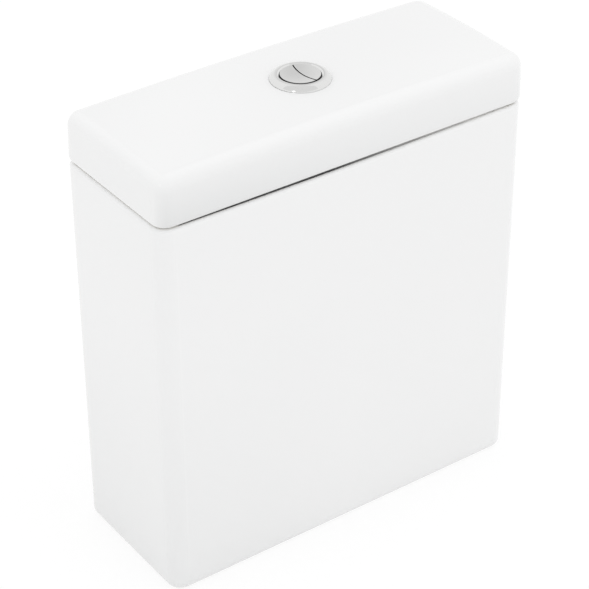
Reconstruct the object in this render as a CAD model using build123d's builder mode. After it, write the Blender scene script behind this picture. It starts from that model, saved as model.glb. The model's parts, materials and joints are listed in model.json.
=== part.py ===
"""Close-coupled toilet cistern: a glazed ceramic tank and lid, a two-part push button, a dual flush valve,
a bottom-entry fill valve and the bolts that hold the tank to its pan.

Millimetres, +Z up. The origin is on the base plane, in the middle of the object's width and depth.
-Y is the wide front face, +Y the back that stands against the wall, +X the side of the water inlet.
"""
from build123d import *
from math import asin, atan, cos, degrees, sin, sqrt, tan
import os

os.makedirs("parts", exist_ok=True)

# General clearances
fit_gap = 0.1            # between fixed pieces that push together
pin_gap = 0.05           # round a hinge pin
run_gap = 0.3            # between a moving piece and what it passes or rests on
slide_gap = 0.6          # round a tube or bar that slides in a guide
cut_over = 2.0           # how far a cutting shape runs past the face it opens

# Ceramic tank
tank_width = 370.0
tank_depth = 147.0
tank_height = 366.6      # at both ends
rim_sag = 1.4            # dip of the rim halfway along, as fired ceramic has
tank_wall = 9.0
tank_corner = 14.0       # plan radius of the upright corners
water_corner = 8.5       # the same inside
tank_floor = 10.0
recess_height = 38.0     # hollow under the floor that takes the nuts and the gasket
skirt_wall = 11.0
recess_corner = 7.0
foot_round = 7.0
rim_round = 3.5
rim_inner_bevel = 1.5
floor_round = 7.0
pipe_notch_width = 56.0
pipe_notch_height = 28.0
pipe_notch_round = 8.0

# Ceramic lid
lid_overhang = 0.3       # past the tank at the front and at both sides, flush at the back
lid_gap = 0.3            # joint at both ends, where the rim stands highest
lid_side_height = 43.9
lid_side_draft = 1.3     # how far each side leans in from its foot to its top
lid_corner = 14.0
lid_wall = 10.0
lid_roof = 10.0
lid_top_round = 11.6
lid_foot_round = 6.0
lid_hollow_corner = 8.0
lid_hollow_round = 5.0
crown_across = 2.4       # rise of the top from the ends to the middle
crown_deep = 1.9         # rise of the top from the front and back to the middle
lug_length = 30.0
lug_width = 6.0
lug_drop = 8.0           # how far a lug reaches down inside the rim
lug_root = 12.0
lug_play = 2.5
lug_inset = 86.5         # from each end of the lid
pad_inset = 20.0         # from each end of the tank

# Push button
button_forward = 1.2     # the button's centre lies this far in front of the middle
bezel_radius = 26.0
bezel_seat = 0.4         # depth of the flat spot that the bezel sits in
bezel_rise = 4.5
bezel_edge = 0.9
bezel_crest = 1.5        # width of the bezel's highest ring
bezel_swell = 0.9        # how far the bezel's slope bulges past a straight cone
lid_hole_radius = 20.0
barrel_radius = 19.4
barrel_wall = 2.0
barrel_length = 31.5
well_depth = 19.0        # from the bezel's crest to the button floor
well_floor = 3.0
button_radius = 17.3
button_gap = 0.4
button_plate = 5.0
button_skirt = 11.5
button_skirt_wall = 1.2
button_dish = 0.9
button_edge_round = 0.5
split_offset = 1.3       # where the split line crosses the middle
split_bulge_radius = 55.0
split_gap = 0.9          # between the two buttons
button_travel = 6.0
stem_offset = 9.0        # from the middle to each stem
stem_radius = 4.5
stem_length = 36.5
rod_radius = 3.0
rod_foot_radius = 4.0
rod_foot_height = 3.0
rod_grip = 20.0          # length of rod inside its stem
spring_radius = 5.8
spring_wire = 1.0
bezel_nut_radius = 27.0
bezel_nut_height = 10.0
bezel_nut_lugs = 6
bezel_nut_lug = 5.0
bezel_washer_radius = 25.0
bezel_washer_height = 1.5

# Flush valve seat and the pieces that clamp it
tail_radius = 29.4
tail_bore_radius = 25.0
tail_clear = 6.0         # height of the tail's end over the base plane
floor_hole_radius = 31.5
seat_washer_radius = 43.0
seat_washer_height = 4.0
seat_flange_radius = 44.0
seat_flange_height = 4.0
seat_rim_outer = 29.0
seat_rim_inner = 26.0
seat_rim_height = 4.0
seat_rim_bevel = 0.9
back_nut_radius = 41.0
back_nut_height = 12.0
back_nut_lugs = 8
back_nut_lug = 7.0
gasket_radius = 46.0
gasket_clear = 2.0
gasket_bevel = 5.0

# Overflow tube and what it carries
tube_radius = 17.0
tube_wall = 2.0
tube_length = 212.0
tube_foot_radius = 30.0
tube_foot_height = 2.7
seal_radius = 31.0
seal_height = 3.0
retainer_radius = 23.0
retainer_height = 2.6
bell_radius = 30.0
bell_wall = 2.0
bell_height = 46.0
hook_collar_radius = 21.5
hook_collar_height = 8.0
hook_top_clear = 2.0     # from the collar to the tube's end
hook_thickness = 4.0
hook_width = 8.0

# Valve cage
cage_radius = 43.0
cage_ring_height = 6.0
cage_wall = 5.0
cage_post_width = 10.0
cage_posts = 4
shoulder_height = 98.0   # from the seat flange to the top of the shoulder
shoulder_thickness = 4.0
upright_offset = 32.0
upright_width = 14.0
upright_thickness = 5.0
guide_rise = 83.0        # from the shoulder to the upper guide
guide_radius = 24.0
guide_thickness = 4.0
guide_web_width = 8.0
guide_eye_wall = 3.0      # round the half flush bar
head_clear = 8.3         # from the lifted tube to the underside of the control head

# Control head and its two levers
head_length = 62.0
head_depth = 72.0
head_thickness = 4.0
head_vent_radius = 10.0
head_round = 6.0
cheek_thickness = 3.0
cheek_height = 17.0
cheek_length = 54.0
lever_width = 10.0
lever_thickness = 4.0
lever_tip_radius = 4.0
lever_boss_radius = 4.6
lever_short_arm = 11.0   # pivot to the push rod
lever_long_arm = 22.0    # pivot to the lifting tip
lever_pin_radius = 1.6
lever_pivot_rise = 10.0  # over the head's plate

# Half flush rod and float
half_bar_width = 6.0
half_bar_thickness = 4.5
half_bar_tail = 30.1     # how far it hangs below the shoulder
half_dog_drop = 12.5     # open gap under the tube's collar
half_dog_thickness = 3.5
half_dog_clear = 1.5
half_float_length = 32.0
half_float_lap = 3.0     # how far it reaches in past the bar
half_float_width = 40.0
half_float_height = 40.0
half_float_round = 6.0
half_float_wall = 1.8
half_float_rise = 10.0   # over the shoulder

# Fill valve
fill_hole_radius = 11.5
inlet_radius = 10.48     # crest of the half inch pipe thread
inlet_root_radius = 9.6
inlet_bore_radius = 6.0
inlet_clear = 5.0
fill_nut_height = 10.0
fill_nut_across = 30.0
fill_flange_radius = 17.0
fill_flange_height = 4.0
inlet_washer_height = 2.5
fill_sleeve_radius = 13.0
fill_sleeve_height = 64.0
lock_collar_radius = 16.5
lock_collar_height = 14.0
lock_collar_lap = 10.0
riser_radius = 9.8
riser_wall = 3.0
riser_lap = 54.0
fill_head_rise = 107.0   # from the sleeve's end to the head
fill_head_radius = 17.0
fill_head_height = 33.0
fill_chamber_radius = 12.0
fill_chamber_depth = 16.0
fill_head_neck = 6.0
diaphragm_radius = 15.5
diaphragm_height = 2.0
bleed_radius = 1.0
cap_radius = 18.8
cap_wall = 1.7
cap_height = 8.0
cap_skirt = 10.0
vent_radius = 2.0
vent_height = 1.5
filter_radius = 5.9
filter_wall = 1.2
filter_length = 24.0
filter_clear = 1.0

# Fill valve float, rod and arm
float_radius = 31.0
float_height = 45.0
float_wall = 1.8
float_clear_bore = 1.0
float_drop_below_head = 30.0   # with the tank full
float_travel = 10.0
arm_pivot_forward = 6.0
arm_pivot_rise = 7.0
arm_long = 20.0
arm_short = 12.0
arm_width = 6.0
arm_thickness = 4.0
arm_boss_radius = 3.4
arm_eye_radius = 6.0
arm_eye_bore = 3.4
arm_pin_radius = 1.3
arm_fork_wall = 2.7
float_rod_radius = 2.0
float_rod_over = 4.0
clip_radius = 5.0
clip_height = 3.0
clip_play = 0.4

# Bolts that clamp the tank to the pan
bolt_spacing = 155.0
bolt_hole_radius = 6.5
bolt_crest_radius = 4.0
bolt_root_radius = 3.3
bolt_clear = 4.0
bolt_head_across = 14.0
bolt_head_height = 6.0
cone_top_radius = 13.0
cone_bottom_radius = 12.0
cone_height = 5.0
floor_washer_radius = 12.0
floor_washer_height = 2.0
fixing_nut_across = 13.0
fixing_nut_height = 6.0
wing_hub_radius = 7.0
wing_hub_height = 9.0
wing_reach = 15.0
wing_thickness = 3.0

# Heights and places that follow
tank_mid_y = lid_overhang / 2
floor_top = recess_height + tank_floor
lid_bottom = tank_height + lid_gap
lid_width = tank_width + 2 * lid_overhang
lid_depth = tank_depth + lid_overhang
lid_crown = crown_across + crown_deep
lid_top = lid_bottom + lid_side_height + lid_crown
lid_ceiling = lid_top - lid_roof
lid_lean = atan(lid_side_draft / lid_side_height)
lid_foot_growth = lid_foot_round * (tan(lid_lean) + 1 / cos(lid_lean) - 1)
button_at = (0, -button_forward)
button_top = lid_top + bezel_rise
well_radius = button_radius + button_gap
well_bottom = button_top - well_depth
plate_bottom = button_top - button_plate
seat_bottom = floor_top + seat_washer_height
seat_top = seat_bottom + seat_flange_height
seal_bottom = seat_top + seat_rim_height + run_gap
tube_foot = seal_bottom + seal_height
tube_bottom = seal_bottom - retainer_height
tube_top = tube_bottom + tube_length
collar_top = tube_top - hook_top_clear
collar_bottom = collar_top - hook_collar_height
shoulder_top = seat_top + shoulder_height
guide_top = shoulder_top + guide_rise
tube_rise = button_travel * lever_long_arm / lever_short_arm
head_bottom = tube_top + tube_rise + head_clear
head_top = head_bottom + head_thickness
pivot_z = head_top + lever_pivot_rise
pivot_x = stem_offset + lever_short_arm
lever_tilt = asin(button_travel / (2 * lever_short_arm))
pad_point_z = pivot_z + lever_short_arm * sin(lever_tilt) + lever_tip_radius
lift_point_z = pivot_z - lever_long_arm * sin(lever_tilt) + lever_tip_radius
lift_bottom = lift_point_z + run_gap + fit_gap
hook_inner_x = pivot_x + lever_long_arm + lever_tip_radius + slide_gap
rod_bottom = pad_point_z + run_gap + fit_gap
half_float_inner_x = hook_inner_x - half_float_lap
half_float_outer_x = half_float_inner_x + half_float_length
fill_at = ((half_float_outer_x + tank_width / 2 - tank_wall) / 2, tank_mid_y)
fill_flange_bottom = floor_top + inlet_washer_height
fill_flange_top = fill_flange_bottom + fill_flange_height
sleeve_top = fill_flange_top + fill_sleeve_height
fill_head_bottom = sleeve_top + fill_head_rise
fill_head_top = fill_head_bottom + fill_head_height
cap_bottom = fill_head_top + diaphragm_height
cap_top = cap_bottom + cap_height
arm_pivot_y = fill_at[1] - arm_pivot_forward
arm_pivot_z = cap_top + arm_pivot_rise
arm_tilt = asin(float_travel / (2 * arm_long))
float_rod_y = arm_pivot_y - arm_long * (1 + cos(arm_tilt)) / 2
float_top = fill_head_bottom - float_drop_below_head - float_travel
eye_z = arm_pivot_z - arm_long * sin(arm_tilt)
eye_half = clip_radius * sin(arm_tilt) + arm_thickness / (2 * cos(arm_tilt))

pieces = {}


def turned(outline, at):
    """A round piece: a half outline of (radius, height) points turned about the upright line at a place."""
    with BuildPart() as piece:
        with BuildSketch(Plane(origin=(at[0], at[1], 0), x_dir=(1, 0, 0), z_dir=(0, -1, 0))):
            with BuildLine():
                Polyline(*outline, close=True)
            make_face()
        revolve(axis=Axis((at[0], at[1], 0), (0, 0, 1)))
    return piece


def ring(outer, inner, low, high, places):
    """A plain ring between two heights, one at each place."""
    with BuildPart() as piece:
        with BuildSketch(Plane.XY.offset(low)):
            with Locations(*places):
                Circle(outer)
                Circle(inner, mode=Mode.SUBTRACT)
        extrude(amount=high - low)
    return piece


def nut(across, bore, low, high, places):
    """A hexagon nut between two heights, one at each place."""
    with BuildPart() as piece:
        with BuildSketch(Plane.XY.offset(low)):
            with Locations(*places):
                RegularPolygon(across / 2, side_count=6, major_radius=False)
                Circle(bore, mode=Mode.SUBTRACT)
        extrude(amount=high - low)
    return piece


def lugged_nut(radius, bore, low, high, lugs, lug, at):
    """A round plastic nut with finger lugs about its rim."""
    with BuildPart() as piece:
        with BuildSketch(Plane.XY.offset(low)):
            with Locations(at):
                Circle(radius - lug / 2)
                with PolarLocations(radius - lug / 2, lugs):
                    RectangleRounded(lug, lug + lug, lug / 3)
                Circle(bore, mode=Mode.SUBTRACT)
        extrude(amount=high - low)
    return piece


def rim_face(piece):
    """The tank's top face, the largest of the faces that lie between the rim's ends and its middle."""
    return piece.faces().filter_by_position(Axis.Z, tank_height - 2 * rim_sag, tank_height).sort_by(SortBy.AREA)[-1]


# Tank: the outer block with its sagging rim, the water space, the recess under the floor and the holes
with BuildPart() as water_space:
    with BuildSketch(Plane.XY.offset(floor_top)):
        with Locations((0, tank_mid_y)):
            RectangleRounded(tank_width - 2 * tank_wall, tank_depth - 2 * tank_wall, water_corner)
    extrude(amount=tank_height - floor_top + cut_over)
    fillet(water_space.faces().sort_by(Axis.Z)[0].edges(), floor_round)

rim_half = tank_width / 2 + cut_over
with BuildPart() as above_rim:
    with BuildSketch(Plane.XZ):
        with BuildLine():
            ThreePointArc((-rim_half, tank_height), (0, tank_height - rim_sag), (rim_half, tank_height))
            Polyline((rim_half, tank_height), (rim_half, lid_bottom + cut_over), (-rim_half, lid_bottom + cut_over),
                     (-rim_half, tank_height))
        make_face()
    extrude(amount=tank_depth, both=True)

with BuildPart() as tank:
    with BuildSketch():
        with Locations((0, tank_mid_y)):
            RectangleRounded(tank_width, tank_depth, tank_corner)
    extrude(amount=tank_height)
    fillet(tank.faces().sort_by(Axis.Z)[0].edges(), foot_round)
    add(above_rim.part, mode=Mode.SUBTRACT)
    fillet(rim_face(tank).edges(), rim_round)
    add(water_space.part, mode=Mode.SUBTRACT)
    chamfer(rim_face(tank).inner_wires()[0].edges(), rim_inner_bevel)
    with BuildSketch():
        with Locations((0, tank_mid_y)):
            RectangleRounded(tank_width - 2 * skirt_wall, tank_depth - 2 * skirt_wall, recess_corner)
    extrude(amount=recess_height, mode=Mode.SUBTRACT)
    with BuildSketch(Plane.XY.offset(recess_height)):
        with Locations(button_at):
            Circle(floor_hole_radius)
        with Locations(fill_at):
            Circle(fill_hole_radius)
        with Locations(button_at):
            with GridLocations(bolt_spacing, 0, 2, 1):
                Circle(bolt_hole_radius)
    extrude(amount=tank_floor, mode=Mode.SUBTRACT)
    with BuildSketch(Plane.XZ.offset(-(tank_mid_y + tank_depth / 2 + cut_over))):
        with Locations((fill_at[0], 0)):
            RectangleRounded(pipe_notch_width, 2 * pipe_notch_height, pipe_notch_round)
    extrude(amount=skirt_wall + 2 * cut_over, mode=Mode.SUBTRACT)
pieces["tank"] = tank

# Lid: an arched block, hollow below, with a hole for the button and four locating lugs
arch_across = ((lid_width / 2) ** 2 + crown_across ** 2) / (2 * crown_across)
arch_deep = ((lid_depth / 2) ** 2 + crown_deep ** 2) / (2 * crown_deep)
arch_axis_z = lid_top - arch_across
arch_half = lid_depth / 2 + cut_over
arch_end = arch_across - (arch_deep - sqrt(arch_deep ** 2 - arch_half ** 2))
arch_low = lid_bottom - arch_axis_z - lid_crown - cut_over
arch_angle = asin((lid_width / 2 + cut_over) / arch_low)

with BuildPart() as arch:
    start = Plane(origin=(0, 0, arch_axis_z), x_dir=(0, 1, 0), z_dir=(cos(arch_angle), 0, sin(arch_angle)))
    with BuildSketch(start):
        with BuildLine():
            ThreePointArc((-arch_half, arch_end), (0, arch_across), (arch_half, arch_end))
            Polyline((arch_half, arch_end), (arch_half, arch_low), (-arch_half, arch_low), (-arch_half, arch_end))
        make_face()
    revolve(axis=Axis((0, 0, arch_axis_z), (0, 1, 0)), revolution_arc=degrees(2 * arch_angle))

with BuildPart() as lid_hollow:
    with BuildSketch(Plane.XY.offset(lid_bottom - cut_over)):
        RectangleRounded(lid_width - 2 * lid_wall, lid_depth - 2 * lid_wall, lid_hollow_corner)
    extrude(amount=lid_ceiling - lid_bottom + cut_over)
    fillet(lid_hollow.faces().sort_by(Axis.Z)[-1].edges(), lid_hollow_round)

with BuildPart() as lid:
    with BuildSketch(Plane.XY.offset(lid_bottom)):
        RectangleRounded(lid_width + 2 * lid_foot_growth, lid_depth + 2 * lid_foot_growth, lid_corner)
    extrude(amount=lid_top - lid_bottom + cut_over, taper=degrees(lid_lean))
    fillet(lid.faces().sort_by(Axis.Z)[0].edges(), lid_foot_round)
    add(arch.part, mode=Mode.INTERSECT)
    fillet(lid.faces().sort_by(Axis.Z)[-1].edges(), lid_top_round)
    add(lid_hollow.part, mode=Mode.SUBTRACT)
    with BuildSketch(Plane.XY.offset(lid_top + cut_over)):
        with Locations(button_at):
            Circle(lid_hole_radius)
    extrude(amount=-(lid_roof + 2 * cut_over), mode=Mode.SUBTRACT)
    with BuildSketch(Plane.XY.offset(lid_top + cut_over)):
        with Locations(button_at):
            Circle(bezel_radius + run_gap)
    extrude(amount=-(bezel_seat + cut_over), mode=Mode.SUBTRACT)
    opening_half = tank_depth / 2 - tank_wall
    hollow_half = lid_depth / 2 - lid_wall
    for side in (-1, 1):
        lug_face = tank_mid_y + side * (opening_half - lug_play)
        lug_back = lug_face - side * lug_width
        for root_y, low in ((side * (hollow_half + cut_over), lid_bottom), (lug_face, lid_bottom - lug_drop)):
            with BuildSketch(Plane.XY.offset(low)):
                with Locations((0, (root_y + lug_back) / 2)):
                    with GridLocations(lid_width - 2 * lug_inset, 0, 2, 1):
                        Rectangle(lug_length, abs(root_y - lug_back))
            extrude(amount=lid_bottom + lug_root - low)
pieces["lid"] = lid

# Rubber strips on the front and back of the tank's rim, under the lid
pad_width = tank_wall - rim_round - rim_inner_bevel
pad_line = tank_depth - tank_wall - rim_round + rim_inner_bevel
with BuildPart() as lid_pads:
    with BuildSketch(Plane.XY.offset(tank_height - rim_sag)):
        with Locations((0, tank_mid_y)):
            with GridLocations(0, pad_line, 1, 2):
                Rectangle(tank_width - 2 * pad_inset, pad_width)
    extrude(amount=rim_sag + lid_gap)
    add(above_rim.part, mode=Mode.INTERSECT)
pieces["lid_pads"] = lid_pads

# Bezel: a domed ring over a threaded barrel with a floor that guides the two stems
bezel_low = lid_top - bezel_seat
crest_outer = well_radius + bezel_crest
swell_radius = (crest_outer + bezel_radius) / 2 + bezel_swell
swell_z = (button_top + bezel_low + bezel_edge) / 2 + bezel_swell
with BuildPart() as bezel:
    with BuildSketch(Plane(origin=(0, button_at[1], 0), x_dir=(1, 0, 0), z_dir=(0, -1, 0))):
        with BuildLine():
            ThreePointArc((bezel_radius, bezel_low + bezel_edge), (swell_radius, swell_z), (crest_outer, button_top))
            Polyline((crest_outer, button_top), (well_radius, button_top - bezel_edge), (well_radius, well_bottom),
                     (0, well_bottom), (0, well_bottom - well_floor),
                     (barrel_radius - barrel_wall, well_bottom - well_floor),
                     (barrel_radius - barrel_wall, bezel_low - barrel_length),
                     (barrel_radius, bezel_low - barrel_length), (barrel_radius, bezel_low),
                     (bezel_radius, bezel_low), (bezel_radius, bezel_low + bezel_edge))
        make_face()
    revolve(axis=Axis((0, button_at[1], 0), (0, 0, 1)))
    with BuildSketch(Plane.XY.offset(well_bottom)):
        with Locations(button_at):
            with GridLocations(2 * stem_offset, 0, 2, 1):
                Circle(stem_radius + run_gap)
    extrude(amount=-well_floor, mode=Mode.SUBTRACT)
pieces["bezel"] = bezel

pieces["bezel_washer"] = ring(bezel_washer_radius, barrel_radius + fit_gap,
                              lid_ceiling - bezel_washer_height, lid_ceiling, [button_at])
nut_top = lid_ceiling - bezel_washer_height
pieces["bezel_nut"] = lugged_nut(bezel_nut_radius, barrel_radius + fit_gap, nut_top - bezel_nut_height, nut_top,
                                 bezel_nut_lugs, bezel_nut_lug, button_at)

# Two buttons split by an arc that runs from front to back; the left one, for the full flush, is the larger
dish_radius = (button_radius ** 2 + button_dish ** 2) / (2 * button_dish)
split_centre = (split_offset + split_bulge_radius, 0)


def button_plan(side, inset):
    """The plan of one button, drawn in by an inset, in the sketch that is open."""
    reach = side * (split_gap / 2 + inset)
    with Locations(button_at):
        Circle(button_radius - inset)
        with Locations(split_centre):
            Circle(split_bulge_radius - reach, mode=Mode.SUBTRACT if side < 0 else Mode.INTERSECT)


for name, side in (("full_button", -1), ("half_button", 1)):
    stem_at = (side * stem_offset, button_at[1])
    with BuildPart() as button:
        with BuildSketch(Plane.XY.offset(button_top - button_skirt)):
            button_plan(side, 0)
        extrude(amount=button_skirt)
        with Locations((button_at[0], button_at[1], button_top + dish_radius - button_dish)):
            Sphere(dish_radius, mode=Mode.SUBTRACT)
        fillet(button.faces().sort_by(Axis.Z)[-1].edges(), button_edge_round)
        with BuildSketch(Plane.XY.offset(button_top - button_skirt)):
            button_plan(side, button_skirt_wall)
        extrude(amount=button_skirt - button_plate, mode=Mode.SUBTRACT)
        with BuildSketch(Plane.XY.offset(button_top - stem_length)):
            with Locations(stem_at):
                Circle(stem_radius)
        extrude(amount=stem_length - button_plate)
        with BuildSketch(Plane.XY.offset(button_top - stem_length)):
            with Locations(stem_at):
                Circle(rod_radius + fit_gap)
        extrude(amount=rod_grip, mode=Mode.SUBTRACT)
    pieces[name] = button

# Return springs round the stems, and the push rods that screw into them
for name, side in (("full", -1), ("half", 1)):
    stem_at = (side * stem_offset, button_at[1])
    pieces[name + "_spring"] = ring(spring_radius, spring_radius - spring_wire, well_bottom, plate_bottom, [stem_at])
    rod_top = button_top - stem_length + rod_grip - fit_gap
    pieces[name + "_push_rod"] = turned([(0, rod_bottom), (rod_foot_radius, rod_bottom),
                                         (rod_foot_radius, rod_bottom + rod_foot_height),
                                         (rod_radius, rod_bottom + rod_foot_height), (rod_radius, rod_top),
                                         (0, rod_top)], stem_at)

# Flush valve seat: a flange over the floor, a rim for the seal and a tail through the floor
seat_rim_top = seat_top + seat_rim_height
pieces["valve_seat"] = turned([(tail_bore_radius, tail_clear), (tail_radius, tail_clear),
                               (tail_radius, seat_bottom), (seat_flange_radius, seat_bottom),
                               (seat_flange_radius, seat_top), (seat_rim_outer, seat_top),
                               (seat_rim_inner + seat_rim_bevel, seat_rim_top), (seat_rim_inner, seat_rim_top),
                               (seat_rim_inner, seat_top), (tail_bore_radius, seat_top)], button_at)
pieces["seat_washer"] = ring(seat_washer_radius, tail_radius + fit_gap, floor_top, seat_bottom, [button_at])
back_nut_low = recess_height - back_nut_height
pieces["back_nut"] = lugged_nut(back_nut_radius, tail_radius + fit_gap, back_nut_low, recess_height,
                                back_nut_lugs, back_nut_lug, button_at)
pieces["doughnut_gasket"] = turned([(tail_radius + run_gap, back_nut_low), (gasket_radius, back_nut_low),
                                    (gasket_radius, gasket_clear + gasket_bevel),
                                    (gasket_radius - gasket_bevel, gasket_clear),
                                    (tail_radius + run_gap, gasket_clear)], button_at)

# Overflow tube with the seal that closes the seat, and the bell that keeps it afloat
tube_inner = tube_radius - tube_wall
pieces["overflow_tube"] = turned([(tube_inner, tube_bottom), (tube_radius, tube_bottom), (tube_radius, tube_foot),
                                  (tube_foot_radius, tube_foot), (tube_foot_radius, tube_foot + tube_foot_height),
                                  (tube_radius, tube_foot + tube_foot_height), (tube_radius, tube_top),
                                  (tube_inner, tube_top)], button_at)
pieces["valve_seal"] = ring(seal_radius, tube_radius + fit_gap, seal_bottom, tube_foot, [button_at])
pieces["seal_retainer"] = ring(retainer_radius, tube_radius + fit_gap, tube_bottom, seal_bottom, [button_at])
bell_low = tube_foot + tube_foot_height
bell_top = bell_low + bell_height
pieces["tube_float"] = turned([(bell_radius - bell_wall, bell_low), (bell_radius, bell_low),
                               (bell_radius, bell_top - bell_wall), (bell_radius - bell_wall, bell_top),
                               (tube_radius + fit_gap, bell_top), (tube_radius + fit_gap, bell_top - bell_wall),
                               (bell_radius - bell_wall, bell_top - bell_wall)], button_at)

# Lift hook: a collar on the tube's end with an arm that reaches over the full lever's tip
hook_outer_x = hook_inner_x + hook_thickness
with BuildPart() as lift_hook:
    with BuildSketch(Plane.XY.offset(collar_bottom)):
        with Locations(button_at):
            Circle(hook_collar_radius)
            with Locations((-hook_outer_x / 2, 0)):
                Rectangle(hook_outer_x, hook_width)
            Circle(tube_radius + fit_gap, mode=Mode.SUBTRACT)
    extrude(amount=hook_collar_height)
    with BuildSketch(Plane.XY.offset(collar_top)):
        with Locations(button_at):
            with Locations((-(hook_inner_x + hook_outer_x) / 2, 0)):
                Rectangle(hook_thickness, hook_width)
    extrude(amount=lift_bottom - collar_top)
    with BuildSketch(Plane.XY.offset(lift_bottom)):
        with Locations(button_at):
            with Locations((-(hook_outer_x + pivot_x + lever_long_arm - lever_tip_radius) / 2, 0)):
                Rectangle(hook_outer_x - pivot_x - lever_long_arm + lever_tip_radius, hook_width)
    extrude(amount=hook_thickness)
pieces["lift_hook"] = lift_hook

# Valve cage: ring, posts, shoulder, two uprights, and guides for the tube and the half flush bar
bar_x = hook_inner_x + half_bar_thickness / 2
eye_reach = hook_inner_x + half_bar_thickness + slide_gap + guide_eye_wall
eye_width = half_bar_width + 2 * slide_gap + 2 * guide_eye_wall


def guide_slots():
    """Openings for the tube and the half flush bar, in the sketch that is open."""
    Circle(tube_radius + slide_gap, mode=Mode.SUBTRACT)
    with Locations((bar_x, 0)):
        Rectangle(half_bar_thickness + 2 * slide_gap, half_bar_width + 2 * slide_gap, mode=Mode.SUBTRACT)


with BuildPart() as valve_cage:
    with BuildSketch(Plane.XY.offset(seat_top)):
        with Locations(button_at):
            Circle(cage_radius)
            Circle(cage_radius - cage_wall, mode=Mode.SUBTRACT)
    extrude(amount=cage_ring_height)
    with BuildSketch(Plane.XY.offset(seat_top)):
        with Locations(button_at):
            with PolarLocations(cage_radius - cage_wall / 2, cage_posts, start_angle=180 / cage_posts):
                Rectangle(cage_wall - 2 * fit_gap, cage_post_width)
    extrude(amount=shoulder_height)
    with BuildSketch(Plane.XY.offset(shoulder_top - shoulder_thickness)):
        with Locations(button_at):
            Circle(cage_radius)
            with Locations((eye_reach / 2, 0)):
                Rectangle(eye_reach, eye_width)
            guide_slots()
    extrude(amount=shoulder_thickness)
    with BuildSketch(Plane.XY.offset(shoulder_top)):
        with Locations(button_at):
            with GridLocations(0, 2 * upright_offset, 1, 2):
                Rectangle(upright_width, upright_thickness)
    extrude(amount=head_bottom - shoulder_top)
    with BuildSketch(Plane.XY.offset(guide_top - guide_thickness)):
        with Locations(button_at):
            Circle(guide_radius)
            Rectangle(guide_web_width, 2 * upright_offset)
            with Locations((eye_reach / 2, 0)):
                Rectangle(eye_reach, eye_width)
            guide_slots()
    extrude(amount=guide_thickness)
pieces["valve_cage"] = valve_cage

# Control head on the uprights: a plate with two cheeks that hold the lever pins
cheek_inner = lever_width / 2 + run_gap
with BuildPart() as control_head:
    with BuildSketch(Plane.XY.offset(head_bottom)):
        with Locations(button_at):
            RectangleRounded(head_length, head_depth, head_round)
            Circle(head_vent_radius, mode=Mode.SUBTRACT)
    extrude(amount=head_thickness)
    with BuildSketch(Plane.XY.offset(head_top)):
        with Locations(button_at):
            with GridLocations(0, 2 * cheek_inner + cheek_thickness, 1, 2):
                Rectangle(cheek_length, cheek_thickness)
    extrude(amount=cheek_height)
    with BuildSketch(Plane(origin=(0, button_at[1], pivot_z), x_dir=(1, 0, 0), z_dir=(0, -1, 0))):
        with GridLocations(2 * pivot_x, 0, 2, 1):
            Circle(lever_pin_radius + pin_gap)
    extrude(amount=cheek_inner + cheek_thickness + cut_over, both=True, mode=Mode.SUBTRACT)
pieces["control_head"] = control_head

# Levers: each rod pushes the short arm down and the long arm's tip goes up
for name, side in (("full", -1), ("half", 1)):
    pivot = Plane(origin=(side * pivot_x, button_at[1], pivot_z), x_dir=(1, 0, 0), z_dir=(0, -1, 0))
    inner_tip = (-side * lever_short_arm * cos(lever_tilt), lever_short_arm * sin(lever_tilt))
    outer_tip = (side * lever_long_arm * cos(lever_tilt), -lever_long_arm * sin(lever_tilt))
    with BuildPart() as lever:
        with BuildSketch(pivot):
            Circle(lever_boss_radius)
            with Locations(inner_tip, outer_tip):
                Circle(lever_tip_radius)
            with Locations(((inner_tip[0] + outer_tip[0]) / 2, (inner_tip[1] + outer_tip[1]) / 2)):
                Rectangle(lever_short_arm + lever_long_arm, lever_thickness, rotation=-side * degrees(lever_tilt))
            Circle(lever_pin_radius + pin_gap, mode=Mode.SUBTRACT)
        extrude(amount=lever_width / 2, both=True)
    pieces[name + "_lever"] = lever
    with BuildPart() as lever_pin:
        with BuildSketch(pivot):
            Circle(lever_pin_radius)
        extrude(amount=cheek_inner + cheek_thickness, both=True)
    pieces[name + "_lever_pin"] = lever_pin

# Half flush bar: a lug over the half lever's tip, a dog under the tube's collar, and its own small float
bar_top = lift_bottom + hook_thickness
bar_low = shoulder_top - shoulder_thickness - half_bar_tail
dog_top = collar_bottom - half_dog_drop
with BuildPart() as half_flush_bar:
    with BuildSketch(Plane.XY.offset(bar_low)):
        with Locations(button_at):
            with Locations((bar_x, 0)):
                Rectangle(half_bar_thickness, half_bar_width)
    extrude(amount=bar_top - bar_low)
    with BuildSketch(Plane.XY.offset(lift_bottom)):
        with Locations(button_at):
            with Locations(((bar_x + pivot_x + lever_long_arm - lever_tip_radius) / 2, 0)):
                Rectangle(bar_x - pivot_x - lever_long_arm + lever_tip_radius, hook_width)
    extrude(amount=hook_thickness)
    with BuildSketch(Plane.XY.offset(dog_top - half_dog_thickness)):
        with Locations(button_at):
            with Locations(((bar_x + tube_radius + half_dog_clear) / 2, 0)):
                Rectangle(bar_x - tube_radius - half_dog_clear, half_bar_width)
    extrude(amount=half_dog_thickness)
pieces["half_flush_bar"] = half_flush_bar

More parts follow.
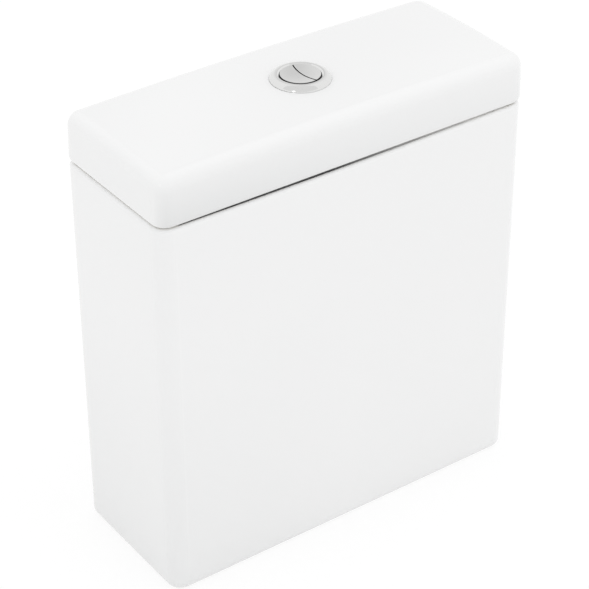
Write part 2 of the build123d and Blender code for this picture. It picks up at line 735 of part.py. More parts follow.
half_float_low = shoulder_top + half_float_rise
pocket_inner = bar_x + half_bar_thickness / 2 + fit_gap + half_float_wall
pocket_outer = half_float_outer_x - half_float_wall
with BuildPart() as half_float:
    with BuildSketch(Plane.XY.offset(half_float_low)):
        with Locations(button_at):
            with Locations(((half_float_inner_x + half_float_outer_x) / 2, 0)):
                RectangleRounded(half_float_length, half_float_width, half_float_round)
    extrude(amount=half_float_height)
    with BuildSketch(Plane.XY.offset(half_float_low)):
        with Locations(button_at):
            with Locations(((pocket_inner + pocket_outer) / 2, 0)):
                RectangleRounded(pocket_outer - pocket_inner, half_float_width - 2 * half_float_wall,
                                 half_float_round - half_float_wall)
    extrude(amount=half_float_height - half_float_wall, mode=Mode.SUBTRACT)
    with BuildSketch(Plane.XY.offset(half_float_low)):
        with Locations(button_at):
            with Locations((bar_x, 0)):
                Rectangle(half_bar_thickness + 2 * fit_gap, half_bar_width + 2 * fit_gap)
    extrude(amount=half_float_height, mode=Mode.SUBTRACT)
pieces["half_flush_float"] = half_float

# Fill valve: a shank with the threaded inlet tail, a riser that telescopes in it, and the valve head
root_top = recess_height - fill_nut_height
riser_end = sleeve_top - riser_lap
pieces["fill_shank"] = turned([(inlet_bore_radius, inlet_clear), (inlet_radius, inlet_clear),
                               (inlet_radius, root_top), (inlet_root_radius, root_top),
                               (inlet_root_radius, fill_flange_bottom), (fill_flange_radius, fill_flange_bottom),
                               (fill_flange_radius, fill_flange_top), (fill_sleeve_radius, fill_flange_top),
                               (fill_sleeve_radius, sleeve_top), (riser_radius + fit_gap, sleeve_top),
                               (riser_radius + fit_gap, riser_end), (inlet_bore_radius, riser_end)], fill_at)
pieces["inlet_washer"] = ring(fill_flange_radius, inlet_root_radius + fit_gap, floor_top, fill_flange_bottom,
                              [fill_at])
pieces["fill_nut"] = nut(fill_nut_across, inlet_root_radius + fit_gap, root_top, recess_height, [fill_at])
filter_low = inlet_clear + filter_clear
pieces["inlet_filter"] = turned([(filter_radius - filter_wall, filter_low), (filter_radius, filter_low),
                                 (filter_radius, filter_low + filter_length), (0, filter_low + filter_length),
                                 (0, filter_low + filter_length - filter_wall),
                                 (filter_radius - filter_wall, filter_low + filter_length - filter_wall)], fill_at)
collar_low = sleeve_top - lock_collar_lap
lock_top = collar_low + lock_collar_height
pieces["lock_collar"] = turned([(fill_sleeve_radius + fit_gap, collar_low), (lock_collar_radius, collar_low),
                                (lock_collar_radius, lock_top), (riser_radius + fit_gap, lock_top),
                                (riser_radius + fit_gap, sleeve_top), (fill_sleeve_radius + fit_gap, sleeve_top)],
                               fill_at)
riser_inner = riser_radius - riser_wall
chamber_low = fill_head_top - fill_chamber_depth
pieces["fill_riser"] = turned([(riser_inner, riser_end), (riser_radius, riser_end),
                               (riser_radius, fill_head_bottom - fill_head_neck),
                               (fill_head_radius, fill_head_bottom),
                               (fill_head_radius, fill_head_top), (fill_chamber_radius, fill_head_top),
                               (fill_chamber_radius, chamber_low), (riser_inner, chamber_low)], fill_at)
pieces["diaphragm"] = ring(diaphragm_radius, bleed_radius, fill_head_top, cap_bottom, [fill_at])

with BuildPart() as fill_cap:
    with BuildSketch(Plane.XY.offset(cap_bottom - cap_skirt)):
        with Locations(fill_at):
            Circle(cap_radius)
            Circle(cap_radius - cap_wall, mode=Mode.SUBTRACT)
    extrude(amount=cap_skirt)
    with BuildSketch(Plane.XY.offset(cap_bottom)):
        with Locations(fill_at):
            Circle(cap_radius)
    extrude(amount=cap_height)
    with BuildSketch(Plane.XY.offset(cap_top)):
        with Locations((fill_at[0], fill_at[1] + arm_short - arm_pivot_forward)):
            Circle(vent_radius)
    extrude(amount=vent_height)
    with BuildSketch(Plane.XY.offset(cap_top)):
        with Locations((fill_at[0], arm_pivot_y)):
            with GridLocations(arm_width + 2 * run_gap + arm_fork_wall, 0, 2, 1):
                Rectangle(arm_fork_wall, 2 * arm_boss_radius)
    extrude(amount=arm_pivot_rise + arm_boss_radius)
    with BuildSketch(Plane(origin=(fill_at[0], arm_pivot_y, arm_pivot_z), x_dir=(0, 1, 0), z_dir=(1, 0, 0))):
        Circle(arm_pin_radius + pin_gap)
    extrude(amount=cap_radius, both=True, mode=Mode.SUBTRACT)
pieces["fill_cap"] = fill_cap

# Float arm, its pin, the float and the rod with two clips that links them, as they hang in an empty tank
arm_plane = Plane(origin=(fill_at[0], arm_pivot_y, arm_pivot_z), x_dir=(0, 1, 0), z_dir=(1, 0, 0))
long_end = (-arm_long * cos(arm_tilt), -arm_long * sin(arm_tilt))
short_end = (arm_short * cos(arm_tilt), arm_short * sin(arm_tilt))
with BuildPart() as float_arm:
    with BuildSketch(arm_plane):
        Circle(arm_boss_radius)
        with Locations(short_end):
            Circle(arm_thickness / 2)
        with Locations(((long_end[0] + short_end[0]) / 2, (long_end[1] + short_end[1]) / 2)):
            Rectangle(arm_long + arm_short, arm_thickness, rotation=degrees(arm_tilt))
        Circle(arm_pin_radius + pin_gap, mode=Mode.SUBTRACT)
    extrude(amount=arm_width / 2, both=True)
    eye_plane = Plane(origin=(fill_at[0], arm_pivot_y + long_end[0], arm_pivot_z + long_end[1]), x_dir=(1, 0, 0),
                      z_dir=(0, -sin(arm_tilt), cos(arm_tilt)))
    with BuildSketch(eye_plane):
        Circle(arm_eye_radius)
    extrude(amount=arm_thickness / 2, both=True)
    with BuildSketch(eye_plane):
        Circle(arm_eye_bore)
    extrude(amount=arm_thickness, both=True, mode=Mode.SUBTRACT)
pieces["float_arm"] = float_arm

with BuildPart() as float_arm_pin:
    with BuildSketch(arm_plane):
        Circle(arm_pin_radius)
    extrude(amount=arm_width / 2 + run_gap + arm_fork_wall, both=True)
pieces["float_arm_pin"] = float_arm_pin

float_bore = riser_radius + float_clear_bore
float_low = float_top - float_height
pieces["float"] = turned([(float_bore, float_low), (float_bore + float_wall, float_low),
                          (float_bore + float_wall, float_top - float_wall),
                          (float_radius - float_wall, float_top - float_wall), (float_radius - float_wall, float_low),
                          (float_radius, float_low), (float_radius, float_top - float_wall),
                          (float_radius - float_wall, float_top), (float_bore, float_top)], fill_at)
rod_at = (fill_at[0], float_rod_y)
lower_clip_top = eye_z - eye_half - clip_play
upper_clip_low = eye_z + eye_half + clip_play
rod_end = upper_clip_low + clip_height + float_rod_over
pieces["float_rod"] = turned([(0, float_top), (float_rod_radius, float_top), (float_rod_radius, rod_end),
                              (0, rod_end)], rod_at)
with BuildPart() as float_clips:
    for low in (lower_clip_top - clip_height, upper_clip_low):
        with BuildSketch(Plane.XY.offset(low)):
            with Locations(rod_at):
                Circle(clip_radius)
                Circle(float_rod_radius + fit_gap, mode=Mode.SUBTRACT)
        extrude(amount=clip_height)
pieces["float_clips"] = float_clips

# Fixing bolts: a head and cone washer in the tank, a washer and nut under the floor, and a wing nut below them
bolt_places = [(side * bolt_spacing / 2, button_at[1]) for side in (-1, 1)]
head_low = floor_top + cone_height
floor_washer_low = recess_height - floor_washer_height
fixing_nut_low = floor_washer_low - fixing_nut_height
wing_low = fixing_nut_low - wing_hub_height
with BuildPart() as fixing_bolts:
    with BuildSketch(Plane.XY.offset(head_low)):
        with Locations(*bolt_places):
            RegularPolygon(bolt_head_across / 2, side_count=6, major_radius=False)
    extrude(amount=bolt_head_height)
    with BuildSketch(Plane.XY.offset(wing_low)):
        with Locations(*bolt_places):
            Circle(bolt_root_radius)
    extrude(amount=head_low - wing_low)
    with BuildSketch(Plane.XY.offset(bolt_clear)):
        with Locations(*bolt_places):
            Circle(bolt_crest_radius)
    extrude(amount=wing_low - bolt_clear)
pieces["fixing_bolts"] = fixing_bolts

with BuildPart() as cone_washers:
    with Locations(*[(x, y, floor_top + cone_height / 2) for x, y in bolt_places]):
        Cone(cone_bottom_radius, cone_top_radius, cone_height)
        Cylinder(bolt_root_radius + fit_gap, cone_height, mode=Mode.SUBTRACT)
pieces["cone_washers"] = cone_washers
pieces["floor_washers"] = ring(floor_washer_radius, bolt_root_radius + fit_gap, floor_washer_low, recess_height,
                               bolt_places)
pieces["fixing_nuts"] = nut(fixing_nut_across, bolt_root_radius + fit_gap, fixing_nut_low, floor_washer_low,
                            bolt_places)
with BuildPart() as wing_nuts:
    with BuildSketch(Plane.XY.offset(wing_low)):
        with Locations(*bolt_places):
            Circle(wing_hub_radius)
            Rectangle(wing_thickness, 2 * wing_reach)
            Circle(bolt_root_radius + fit_gap, mode=Mode.SUBTRACT)
    extrude(amount=wing_hub_height)
pieces["wing_nuts"] = wing_nuts

for name, piece in pieces.items():
    piece.part.label = name
    export_step(piece.part, f"parts/{name}.step")
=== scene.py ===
"""Looks of a close-coupled toilet cistern: glazed ceramic tank and lid, chrome push button, plastic valves.

Metres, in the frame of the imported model: +Z up, -Y the wide front face, +X the side of the water inlet.
New pieces are surfaces worked out on a grid of two parameters; each function gives its formula in words.
"""
import json
from math import cos, pi, radians, sin

import bpy
import numpy as np
from mathutils import Matrix, Vector


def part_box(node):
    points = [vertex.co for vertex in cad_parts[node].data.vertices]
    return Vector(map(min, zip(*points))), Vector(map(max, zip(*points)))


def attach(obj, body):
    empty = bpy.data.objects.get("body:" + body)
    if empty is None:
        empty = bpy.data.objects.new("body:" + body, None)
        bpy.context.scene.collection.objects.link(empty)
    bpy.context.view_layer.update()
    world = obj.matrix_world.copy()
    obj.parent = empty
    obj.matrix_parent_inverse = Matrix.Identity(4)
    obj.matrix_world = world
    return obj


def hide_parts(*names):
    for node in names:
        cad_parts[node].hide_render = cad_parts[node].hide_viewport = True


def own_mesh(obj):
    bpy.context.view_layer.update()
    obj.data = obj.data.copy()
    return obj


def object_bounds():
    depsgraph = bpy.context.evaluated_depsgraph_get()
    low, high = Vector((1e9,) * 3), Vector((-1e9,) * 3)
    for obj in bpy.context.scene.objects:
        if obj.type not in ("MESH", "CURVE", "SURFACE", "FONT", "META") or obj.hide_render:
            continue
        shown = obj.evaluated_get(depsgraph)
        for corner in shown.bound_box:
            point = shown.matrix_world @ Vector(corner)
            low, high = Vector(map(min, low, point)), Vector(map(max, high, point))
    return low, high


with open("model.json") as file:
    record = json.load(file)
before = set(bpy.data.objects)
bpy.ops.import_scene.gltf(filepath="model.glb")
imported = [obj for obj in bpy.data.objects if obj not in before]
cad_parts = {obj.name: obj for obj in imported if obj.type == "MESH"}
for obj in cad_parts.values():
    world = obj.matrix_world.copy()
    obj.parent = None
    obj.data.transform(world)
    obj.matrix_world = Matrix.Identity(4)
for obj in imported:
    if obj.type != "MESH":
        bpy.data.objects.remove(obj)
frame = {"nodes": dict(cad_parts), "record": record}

cad_low, cad_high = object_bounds()
nodes = frame["nodes"]
MM = 0.001

# Viewpoint, worked out from the photograph's edges
view_place = (-0.90249, -1.26559, 1.22733)
view_heading = 35.31
view_down = 33.43
view_roll = -0.25
photo_width_pixels = 589
focal_length_pixels = 2119.85
film_width_mm = 36.0


def make_camera(place, heading, down, roll, lens):
    """Looks from a place along a heading (degrees from +Y towards +X), tilted down and rolled."""
    data = bpy.data.cameras.new("camera")
    data.sensor_width = film_width_mm
    data.lens = lens
    data.clip_start, data.clip_end = 0.05, 60.0
    camera = bpy.data.objects.new("camera", data)
    bpy.context.scene.collection.objects.link(camera)
    h, p, r = radians(heading), radians(down), radians(roll)
    ahead = Vector((sin(h) * cos(p), cos(h) * cos(p), -sin(p)))
    right = Vector((cos(h), -sin(h), 0.0))
    up = right.cross(ahead)
    right, up = right * cos(r) + up * sin(r), up * cos(r) - right * sin(r)
    turn = Matrix((right, up, -ahead)).transposed()
    camera.matrix_world = Matrix.Translation(place) @ turn.to_4x4()
    bpy.context.scene.camera = camera


lens_mm = film_width_mm * focal_length_pixels / photo_width_pixels
make_camera(view_place, view_heading, view_down, view_roll, lens_mm)
bpy.context.scene.view_settings.view_transform = "Standard"


# Node helpers
def feed(tree, socket, value):
    """Sets a socket to a value, or links another node's output to it."""
    if isinstance(value, bpy.types.NodeSocket):
        tree.links.new(value, socket)
    else:
        socket.default_value = value


def add(tree, kind, settings=None, **inputs):
    """One shader node. An input is given by its name with _ for a space, or by i and its number."""
    made = tree.nodes.new("ShaderNode" + kind)
    for key, value in (settings or {}).items():
        setattr(made, key, value)
    for key, value in inputs.items():
        numbered = key[0] == "i" and key[1:].isdigit()
        feed(tree, made.inputs[int(key[1:]) if numbered else key.replace("_", " ")], value)
    return made


def maths(tree, operation, a, b=0.0):
    """One step of arithmetic on masks and heights."""
    return add(tree, "Math", {"operation": operation}, i0=a, i1=b).outputs[0]


def blend_colours(tree, amount, one, two):
    """A colour between two, by a mask."""
    return add(tree, "Mix", {"data_type": "RGBA"}, i0=amount, i6=one, i7=two).outputs[2]


def blend_values(tree, amount, one, two):
    """A value between two, by a mask."""
    return add(tree, "Mix", {"data_type": "FLOAT"}, i0=amount, i2=one, i3=two).outputs[0]


def spread(tree, value, low, high, to_low, to_high):
    """Carries a value from one range to another, held at the ends."""
    return add(tree, "MapRange", {"clamp": True}, Value=value, From_Min=low, From_Max=high, To_Min=to_low,
               To_Max=to_high).outputs[0]


def noise(tree, at, scale, detail=2.0, roughness=0.5, distortion=0.0):
    """Cloudy noise between 0 and 1."""
    return add(tree, "TexNoise", Vector=at, Scale=scale, Detail=detail, Roughness=roughness,
               Distortion=distortion).outputs[0]


def make_group(name, inputs, outputs, build):
    """A named node group: its sockets, then what build wires between them."""
    tree = bpy.data.node_groups.new(name, "ShaderNodeTree")
    kinds = {"v": "NodeSocketVector", "f": "NodeSocketFloat", "c": "NodeSocketColor"}
    for label, kind, value in inputs:
        socket = tree.interface.new_socket(label, in_out="INPUT", socket_type=kinds[kind])
        socket.default_value = value
    for label, kind in outputs:
        tree.interface.new_socket(label, in_out="OUTPUT", socket_type=kinds[kind])
    start, end = tree.nodes.new("NodeGroupInput"), tree.nodes.new("NodeGroupOutput")
    for label, socket in build(tree, start.outputs).items():
        tree.links.new(socket, end.inputs[label])
    return tree


def use(tree, group, **inputs):
    """Places a node group in a material."""
    made = tree.nodes.new("ShaderNodeGroup")
    made.node_tree = group
    for key, value in inputs.items():
        feed(tree, made.inputs[key.replace("_", " ")], value)
    return made.outputs


# Shared effects. Each puts out a tint and a height, and all but the biscuit a roughness
place_input = ("Vector", "v", (0, 0, 0))
plain_white = (1, 1, 1, 1)
surface_outputs = [("Tint", "c"), ("Roughness", "f"), ("Height", "f")]


def glaze_build(t, g):
    """Slow waves, fine orange peel and small pits in fired glaze, with a slight change of tint and gloss."""
    peel_depth, pit_depth = 0.035, 0.02
    slow = noise(t, g["Vector"], g["Wave scale"], roughness=0.4)
    peel = noise(t, g["Vector"], scale=320.0, detail=1.0)
    cells = add(t, "TexVoronoi", {"feature": "F1"}, Vector=g["Vector"], Scale=90.0).outputs[0]
    pit = spread(t, cells, 0.03, 0.06, 1.0, 0.0)
    height = maths(t, "ADD", slow, maths(t, "MULTIPLY", peel, peel_depth))
    return {"Tint": blend_colours(t, slow, g["Colour"], g["Thin colour"]),
            "Roughness": spread(t, slow, 0.3, 0.7, 0.07, 0.12),
            "Height": maths(t, "SUBTRACT", height, maths(t, "MULTIPLY", pit, pit_depth))}


glaze = make_group("glaze", [place_input, ("Wave scale", "f", 9.0), ("Colour", "c", plain_white),
                             ("Thin colour", "c", plain_white)], surface_outputs, glaze_build)


def biscuit_build(t, g):
    """Unglazed fired clay: pale, matt, speckled and slightly gritty."""
    grit = noise(t, g["Vector"], scale=900.0, detail=3.0, roughness=0.6)
    cloud = noise(t, g["Vector"], scale=40.0)
    tone = maths(t, "ADD", maths(t, "MULTIPLY", grit, 0.5), maths(t, "MULTIPLY", cloud, 0.5))
    return {"Tint": blend_colours(t, tone, (0.80, 0.765, 0.70, 1), (0.90, 0.87, 0.82, 1)), "Height": grit}


biscuit = make_group("biscuit", [place_input], [("Tint", "c"), ("Height", "f")], biscuit_build)


def grain_build(t, g):
    """Fine spark-eroded grain of a moulded surface, with faint flow clouds in its colour."""
    fine = noise(t, g["Vector"], g["Grain scale"], roughness=0.6)
    flow = noise(t, g["Vector"], scale=35.0, distortion=1.2)
    return {"Tint": blend_colours(t, flow, g["Colour"], g["Flow colour"]),
            "Roughness": maths(t, "ADD", g["Roughness"], spread(t, fine, 0.3, 0.7, -0.05, 0.05)),
            "Height": fine}


grain = make_group("moulded grain", [place_input, ("Grain scale", "f", 1400.0), ("Colour", "c", plain_white),
                                     ("Flow colour", "c", plain_white), ("Roughness", "f", 0.4)],
                   surface_outputs, grain_build)


def brushing_build(t, g):
    """Fine lines left by drawing, turning or polishing: noise squeezed along each axis by its own factor."""
    squeezed = add(t, "Mapping", Vector=g["Vector"], Scale=g["Squeeze"]).outputs[0]
    lines = noise(t, squeezed, scale=1.0, detail=3.0, roughness=0.65)
    return {"Tint": blend_colours(t, lines, g["Colour"], g["Line colour"]),
            "Roughness": maths(t, "ADD", g["Roughness"], spread(t, lines, 0.3, 0.7, -0.06, 0.08)),
            "Height": lines}


drawn_lines = (60, 60, 2500)
turned_lines = (60, 60, 1800)
polished_lines = (900, 900, 900)
brushing = make_group("brushing", [place_input, ("Squeeze", "v", drawn_lines), ("Colour", "c", plain_white),
                                   ("Line colour", "c", plain_white), ("Roughness", "f", 0.3)],
                      surface_outputs, brushing_build)


# Materials, one to a finish
def start_material(name):
    """An empty material with its shader and the object's own coordinates."""
    material = bpy.data.materials.new(name)
    material.use_nodes = True
    tree = material.node_tree
    tree.nodes.clear()
    shader = add(tree, "BsdfPrincipled")
    tree.links.new(shader.outputs[0], add(tree, "OutputMaterial").inputs[0])
    return material, tree, shader, add(tree, "TexCoord").outputs["Object"]


def bump(tree, shader, height, distance, strength=1.0):
    """Feeds a height in shares of a distance into the shader's normal."""
    made = add(tree, "Bump", Height=height, Distance=distance, Strength=strength)
    tree.links.new(made.outputs[0], shader.inputs["Normal"])


def dress(tree, shader, skin, tint, depth):
    """Gives the shader a tint, and the roughness and height of an effect."""
    tree.links.new(tint, shader.inputs["Base Color"])
    tree.links.new(skin["Roughness"], shader.inputs["Roughness"])
    bump(tree, shader, skin["Height"], depth)


def ceramic(name, colour, thin, foot, painted_shade_colour, painted_shade_top, shares, behind):
    """White glaze over fired clay, left bare below a height, where the piece stands in the kiln. Painted
    shade makes the glaze a little greyer down to the foot, by its own share at the -X end, in the middle and
    at the +X end. Behind the front, that share is multiplied by another."""
    half_front = 185 * MM
    front_starts, front_ends = cad_low.y + 1.5 * MM, cad_low.y + 9 * MM
    edge_wander, edge_width = 0.6 * MM, 0.4 * MM
    clay_roughness, coat_weight, coat_roughness = 0.85, 0.5, 0.03
    wave_depth, wave_strength = 0.6 * MM, 0.35
    left_share, middle_share, right_share = shares
    material, t, shader, at = start_material(name)
    coat = use(t, glaze, Vector=at, Colour=colour, Thin_colour=thin)
    clay = use(t, biscuit, Vector=at)
    place = add(t, "SeparateXYZ", Vector=at).outputs
    # Painted shade: the glaze is darkened towards the foot, by these shares along X, and behind the front by
    # the share behind
    left = spread(t, place[0], -half_front, 0.0, left_share, middle_share)
    right = spread(t, place[0], 0.0, half_front, 0.0, right_share - middle_share)
    painted_shade = maths(t, "MULTIPLY", spread(t, place[2], foot, painted_shade_top, 1.0, 0.0), maths(t, "ADD", left, right))
    painted_shade = maths(t, "MULTIPLY", painted_shade, spread(t, place[1], front_starts, front_ends, 1.0, behind))
    glazed = blend_colours(t, painted_shade, coat["Tint"], painted_shade_colour)
    edge = maths(t, "MULTIPLY", noise(t, at, scale=60.0), edge_wander)
    bare = spread(t, maths(t, "SUBTRACT", place[2], edge), foot, foot + edge_width, 1.0, 0.0)
    uncoated = maths(t, "MULTIPLY", bare, coat_weight)
    t.links.new(blend_colours(t, bare, glazed, clay["Tint"]), shader.inputs["Base Color"])
    t.links.new(spread(t, bare, 0.0, 1.0, coat["Roughness"], clay_roughness), shader.inputs["Roughness"])
    t.links.new(maths(t, "SUBTRACT", coat_weight, uncoated), shader.inputs["Coat Weight"])
    shader.inputs["Coat Roughness"].default_value = coat_roughness
    bump(t, shader, coat["Height"], wave_depth, wave_strength)
    return material


def moulded(name, colour, flow, roughness, scale=1400.0, depth=0.04 * MM):
    """Moulded plastic or rubber with its tool grain."""
    material, t, shader, at = start_material(name)
    skin = use(t, grain, Vector=at, Grain_scale=scale, Colour=colour, Flow_colour=flow, Roughness=roughness)
    dress(t, shader, skin, skin["Tint"], depth)
    return material


def rubber_with_painted_light(name, colour, flow, roughness, scale, depth, painted_light_colour):
    """Rubber painted paler towards its +X end: painted light, showing the joint it sits in as less shaded
    there.
    """
    light_starts, light_full_from = -20 * MM, 120 * MM
    material, t, shader, at = start_material(name)
    skin = use(t, grain, Vector=at, Grain_scale=scale, Colour=colour, Flow_colour=flow, Roughness=roughness)
    fore = add(t, "SeparateXYZ", Vector=at).outputs[0]
    # Painted light: a pale film, growing towards +X, makes the joint look less shaded there
    painted_light_share = spread(t, fore, light_starts, light_full_from, 0.0, 1.0)
    painted_light = maths(t, "MULTIPLY", painted_light_share, spread(t, noise(t, at, scale=120.0), 0.3, 0.7, 0.8, 1.0))
    dress(t, shader, skin, blend_colours(t, painted_light, skin["Tint"], painted_light_colour), depth)
    return material


line_depth = 0.01 * MM


def metal(name, colour, line, roughness, squeeze):
    """Bare or plated metal with the lines of its making."""
    material, t, shader, at = start_material(name)
    skin = use(t, brushing, Vector=at, Squeeze=squeeze, Colour=colour, Line_colour=line, Roughness=roughness)
    dress(t, shader, skin, skin["Tint"], line_depth)
    shader.inputs["Metallic"].default_value = 1.0
    return material


def plated(name, colour, line, roughness, squeeze, painted_wall_shade, middle, brim):
    """Chrome with painted shade on a button's side walls, where the gaps round the buttons lie in shade. The
    walls lie below a height, the brim, that climbs by the dish times the square of the way out from the
    button's axis, as its dished top does."""
    dish = 3.0
    brim_width = 0.06 * MM
    material, t, shader, at = start_material(name)
    skin = use(t, brushing, Vector=at, Squeeze=squeeze, Colour=colour, Line_colour=line, Roughness=roughness)
    place = add(t, "SeparateXYZ", Vector=at).outputs
    out = [maths(t, "SUBTRACT", place[k], middle[k]) for k in (0, 1)]
    square = maths(t, "ADD", maths(t, "MULTIPLY", out[0], out[0]), maths(t, "MULTIPLY", out[1], out[1]))
    level = maths(t, "SUBTRACT", place[2], maths(t, "MULTIPLY", square, dish))
    # Painted shade: the side walls in the gaps round the buttons are darkened
    side = spread(t, level, brim - brim_width, brim, 1.0, 0.0)
    dress(t, shader, skin, blend_colours(t, side, skin["Tint"], painted_wall_shade), line_depth)
    shader.inputs["Metallic"].default_value = 1.0
    return material


lid_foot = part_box("lid_pads")[1].z
bezel_low, bezel_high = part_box("bezel")
button_middle = (bezel_low + bezel_high) / 2
white_glaze = {"colour": (0.895, 0.895, 0.895, 1), "thin": (0.885, 0.887, 0.888, 1)}
black_rubber = {"colour": (0.030, 0.030, 0.032, 1), "flow": (0.045, 0.045, 0.046, 1), "roughness": 0.62,
                "scale": 700.0, "depth": 0.08 * MM}
polished_chrome = {"colour": (0.86, 0.86, 0.85, 1), "line": (0.84, 0.84, 0.835, 1), "roughness": 0.06,
                   "squeeze": polished_lines}
finishes = {
    # Both glazes carry painted shade: the tank darker low at its -X end, the lid darker low along its front,
    # most at -X
    "tank_glaze_painted_shade": ceramic("tank_glaze_painted_shade", foot=0.8 * MM, painted_shade_colour=(0.845, 0.848, 0.848, 1), painted_shade_top=250 * MM,
                          shares=(1.1, 0.0, 0.0), behind=1.0, **white_glaze),
    "lid_glaze_painted_shade": ceramic("lid_glaze_painted_shade", foot=lid_foot + 0.4 * MM, painted_shade_colour=(0.775, 0.78, 0.78, 1),
                         painted_shade_top=lid_foot + 48 * MM, shares=(1.2, 0.7, 0.4), behind=0.1, **white_glaze),
    "chrome": metal("chrome", **polished_chrome),
    "button_chrome_painted_shade": plated("button_chrome_painted_shade", painted_wall_shade=(0.09, 0.09, 0.09, 1), middle=button_middle,
                            brim=bezel_high.z - 1.0 * MM, **polished_chrome),
    "steel": metal("steel", (0.62, 0.62, 0.61, 1), (0.48, 0.48, 0.47, 1), roughness=0.32,
                   squeeze=drawn_lines),
    "brass": metal("brass", (0.80, 0.62, 0.30, 1), (0.66, 0.48, 0.20, 1), roughness=0.28,
                   squeeze=turned_lines),
    "rubber": moulded("rubber", **black_rubber),
    "joint_rubber_painted_light": rubber_with_painted_light("joint_rubber_painted_light", painted_light_colour=(0.55, 0.55, 0.54, 1), **black_rubber),
    "silicone": moulded("silicone", (0.50, 0.055, 0.035, 1), (0.56, 0.08, 0.05, 1), roughness=0.42,
                        scale=500.0, depth=0.03 * MM),
    "white_plastic": moulded("white_plastic", (0.80, 0.80, 0.77, 1), (0.85, 0.85, 0.83, 1), roughness=0.38),
    "grey_plastic": moulded("grey_plastic", (0.29, 0.31, 0.33, 1), (0.34, 0.36, 0.38, 1), roughness=0.42),
    "blue_plastic": moulded("blue_plastic", (0.045, 0.19, 0.42, 1), (0.06, 0.23, 0.48, 1), roughness=0.36),
}
slot_finish = {"ceramic": "tank_glaze_painted_shade", "seal_red": "silicone"}


def wear(piece, finish):
    """Puts one finish on a piece."""
    piece.data.materials.clear()
    piece.data.materials.append(finishes[finish])


for part in frame["record"]["subparts"]:
    wear(nodes[part["node"]], slot_finish.get(part["material_slot"], part["material_slot"]))
wear(nodes["lid"], "lid_glaze_painted_shade")
wear(nodes["lid_pads"], "joint_rubber_painted_light")
for node in ("full_button", "half_button"):
    wear(nodes[node], "button_chrome_painted_shade")


# Springs under the buttons
def tube_piece(name, rings):
    """A smooth mesh at the origin from an array of rings of points along a tube. A face's corners go along
    the tube first, then round it."""
    count, around = rings.shape[:2]
    index = np.arange(count * around).reshape(count, around)
    index = np.hstack([index, index[:, :1]])
    corners = [index[:-1, :-1], index[1:, :-1], index[1:, 1:], index[:-1, 1:]]
    quads = np.stack(corners, axis=-1).reshape(-1, 4)
    data = bpy.data.meshes.new(name)
    data.from_pydata(rings.reshape(-1, 3).tolist(), [], quads.tolist())
    data.polygons.foreach_set("use_smooth", np.ones(len(data.polygons), bool))
    data.update()
    piece = bpy.data.objects.new(name, data)
    bpy.context.scene.collection.objects.link(piece)
    return piece


def coil_spring(name, centre, low, high, radius, wire, turns):
    """A tube of the wire's radius round a helix. The first and last turns don't climb for most of their way,
    so the end coils lie flat, and it climbs fastest halfway. Each end narrows over its last step to a ring
    that is a fiftieth as wide, and isn't capped."""
    steps_a_turn, sides = 28, 12
    flat_turns, eased_share, tip_share = 0.9, 0.35, 0.02
    steps = np.linspace(0, 1, int(turns * steps_a_turn) + 1)
    ease = np.clip((steps * turns - flat_turns) / (turns - 2 * flat_turns), 0, 1)
    climb = ease * ease * (3 - 2 * ease) * eased_share + ease * (1 - eased_share)
    angle = 2 * pi * turns * steps
    height = low + wire + (high - low - 2 * wire) * climb
    line = np.stack([centre[0] + radius * np.cos(angle), centre[1] + radius * np.sin(angle), height], axis=1)
    along = np.gradient(line, axis=0)
    along /= np.linalg.norm(along, axis=1)[:, None]
    outward = np.stack([np.cos(angle), np.sin(angle), np.zeros_like(angle)], axis=1)
    side = np.cross(along, outward)
    section = 2 * pi * np.arange(sides) / sides
    swell = np.full(len(steps), wire)
    swell[0] = swell[-1] = wire * tip_share
    ring = outward[:, None] * np.cos(section)[None, :, None] + side[:, None] * np.sin(section)[None, :, None]
    return tube_piece(name, line[:, None] + ring * swell[:, None, None])


spring_wire = 0.5 * MM
spring_turns = 5.5
for side in ("full", "half"):
    low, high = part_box(side + "_spring")
    middle = (low + high) / 2
    radius = (high.x - low.x) / 2 - spring_wire
    spring = coil_spring(side + "_return_spring", middle, low.z, high.z, radius, spring_wire, spring_turns)
    wear(spring, "steel")
    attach(spring, "lid")
    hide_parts(side + "_spring")
    # A button's travel of 6 mm leaves 8 mm of its spring's 14 mm
    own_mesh(spring)


# Floor and light
def straight_looks(tree):
    """The kinds of ray, and a mask of those from the camera, from a mirror or through glass."""
    path = add(tree, "LightPath").outputs
    either = maths(tree, "MAXIMUM", path["Is Camera Ray"], path["Is Glossy Ray"])
    return path, maths(tree, "MAXIMUM", either, path["Is Transmission Ray"])


def make_floor():
    """A broad plain floor. Straight looks and reflections see it as white, with a faint shadow kept."""
    reach = 9
    lit_shade, seen_shade = (0.88, 0.88, 0.88, 1), (0.17, 0.17, 0.17, 1)
    seen_glow = 0.84
    data = bpy.data.meshes.new("floor")
    corners = [(-reach, -reach, 0), (reach, -reach, 0), (reach, reach, 0), (-reach, reach, 0)]
    data.from_pydata(corners, [], [(0, 1, 2, 3)])
    floor = bpy.data.objects.new("floor", data)
    bpy.context.scene.collection.objects.link(floor)
    material = bpy.data.materials.new("floor_white")
    material.use_nodes = True
    t = material.node_tree
    t.nodes.clear()
    seen = straight_looks(t)[1]
    shade = blend_colours(t, seen, lit_shade, seen_shade)
    matt = add(t, "BsdfDiffuse", Color=shade).outputs[0]
    glow = add(t, "Emission", Strength=maths(t, "MULTIPLY", seen, seen_glow)).outputs[0]
    both = add(t, "AddShader", i0=matt, i1=glow).outputs[0]
    t.links.new(both, add(t, "OutputMaterial").inputs[0])
    data.materials.append(material)


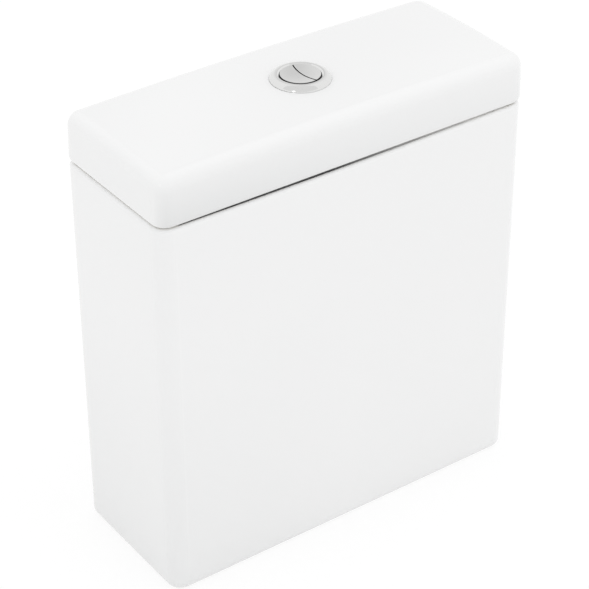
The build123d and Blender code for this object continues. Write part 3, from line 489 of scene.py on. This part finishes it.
def make_world(heading):
    """Even white studio light. Straight looks see it white. Reflections see white walls, a greyer soft patch
    over the wall behind with two darker stripes in it, a plain ceiling panel with sharp edges and one small
    window. Places in the room are cosines of the angle from a direction."""
    light_level, white_level = 1.26, 1.0
    wall_level, panel_drop = 1.14, 0.16
    patch_drop, stripe_drop = 0.12, 0.26
    window_rise = 2.2
    panel_half_width, panel_taper = 0.553, 0.884
    panel_side, panel_end = (0.0, 0.02), (0.45, 0.47)
    patch_place, patch_edge = (0, 36), (0.90, 0.99)
    window_place, window_edge = (205.6, 32), (0.996, 0.998)
    world = bpy.data.worlds.new("studio")
    bpy.context.scene.world = world
    world.use_nodes = True
    t = world.node_tree
    t.nodes.clear()
    path, seen = straight_looks(t)
    towards = add(t, "TexCoord").outputs["Generated"]

    def along(turn, rise):
        """Cosine of the angle from a direction, given in degrees from the heading and above level."""
        turn, rise = radians(heading + turn), radians(rise)
        arrow = (sin(turn) * cos(rise), cos(turn) * cos(rise), sin(rise))
        return add(t, "VectorMath", {"operation": "DOT_PRODUCT"}, i0=towards, i1=arrow).outputs["Value"]

    sideways, fore, above = along(90, 0), along(0, 0), along(0, 90)

    def stripe(centre, inner, outer):
        """An upright stripe, full out to its inner edge and gone at its outer edge."""
        return spread(t, maths(t, "ABSOLUTE", maths(t, "SUBTRACT", sideways, centre)), inner, outer, 1.0, 0.0)

    half_width = maths(t, "SUBTRACT", panel_half_width, maths(t, "MULTIPLY", fore, panel_taper))
    inside = maths(t, "SUBTRACT", half_width, maths(t, "ABSOLUTE", sideways))
    panel = spread(t, inside, *panel_side, 0.0, 1.0)
    panel = maths(t, "MULTIPLY", panel, spread(t, fore, *panel_end, 1.0, 0.0))
    panel = maths(t, "MULTIPLY", panel, spread(t, above, *panel_end, 0.0, 1.0))
    stripes = maths(t, "MAXIMUM", stripe(centre=0.03, inner=0.02, outer=0.10),
                    stripe(centre=-0.15, inner=0.01, outer=0.06))
    patch = spread(t, along(*patch_place), *patch_edge, 0.0, 1.0)
    patch = maths(t, "MULTIPLY", patch, spread(t, stripes, 0.0, 1.0, patch_drop, stripe_drop))
    window = spread(t, along(*window_place), *window_edge, 0.0, window_rise)
    mirrored = maths(t, "SUBTRACT", wall_level, maths(t, "MULTIPLY", panel, panel_drop))
    mirrored = maths(t, "ADD", maths(t, "SUBTRACT", mirrored, patch), window)
    shown = blend_values(t, path["Is Glossy Ray"], white_level, mirrored)
    light = add(t, "Background", Strength=blend_values(t, seen, light_level, shown)).outputs[0]
    t.links.new(light, add(t, "OutputWorld").inputs[0])


def make_lamp(name, place, towards, size, power):
    """A broad soft lamp aimed at a point, left out of reflections."""
    data = bpy.data.lights.new(name, "AREA")
    data.shape, data.size, data.energy = "SQUARE", size, power
    lamp = bpy.data.objects.new(name, data)
    bpy.context.scene.collection.objects.link(lamp)
    lamp.visible_glossy = False
    lamp.location = place
    lamp.rotation_mode = "QUATERNION"
    lamp.rotation_quaternion = (Vector(towards) - Vector(place)).to_track_quat("-Z", "Y")


make_floor()
make_world(view_heading)
make_lamp("soft_key", place=(1.2, -1.2, 3.6), towards=(0, 0, 0.25), size=1.8, power=7.5)
